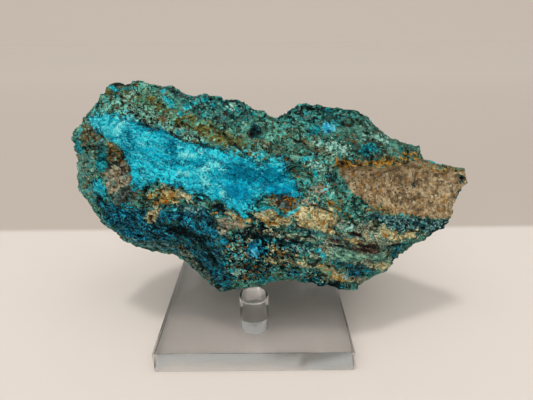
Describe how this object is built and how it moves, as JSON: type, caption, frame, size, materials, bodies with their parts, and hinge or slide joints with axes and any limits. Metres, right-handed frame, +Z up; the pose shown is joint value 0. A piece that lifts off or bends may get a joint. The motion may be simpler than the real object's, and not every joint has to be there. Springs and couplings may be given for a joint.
{
  "type": "chrysocolla specimen on stand",
  "caption": "Rough slab of blue-green chrysocolla in layered host rock, standing on edge on a clear square display stand with round pegs.",
  "frame": {"origin": "middle of the stand plate's underside, on the surface it stands on", "axes": "+Z up; +X along the stone's long way, to the right seen from its showy face; -Y out of that face"},
  "size_m": [0.2068, 0.1014, 0.1329],
  "materials": {
    "chrysocolla_rock": "broken natural surface, turquoise and teal crusts on dark brown-green layered rock, dull with fine glints",
    "clear_acrylic": "clear polished cast acrylic"
  },
  "bodies": {
    "root": {"specimen": "chrysocolla_rock", "base_plate": "clear_acrylic", "peg_front": "clear_acrylic", "peg_back_left": "clear_acrylic", "peg_back_right": "clear_acrylic"}
  },
  "joints": []
}
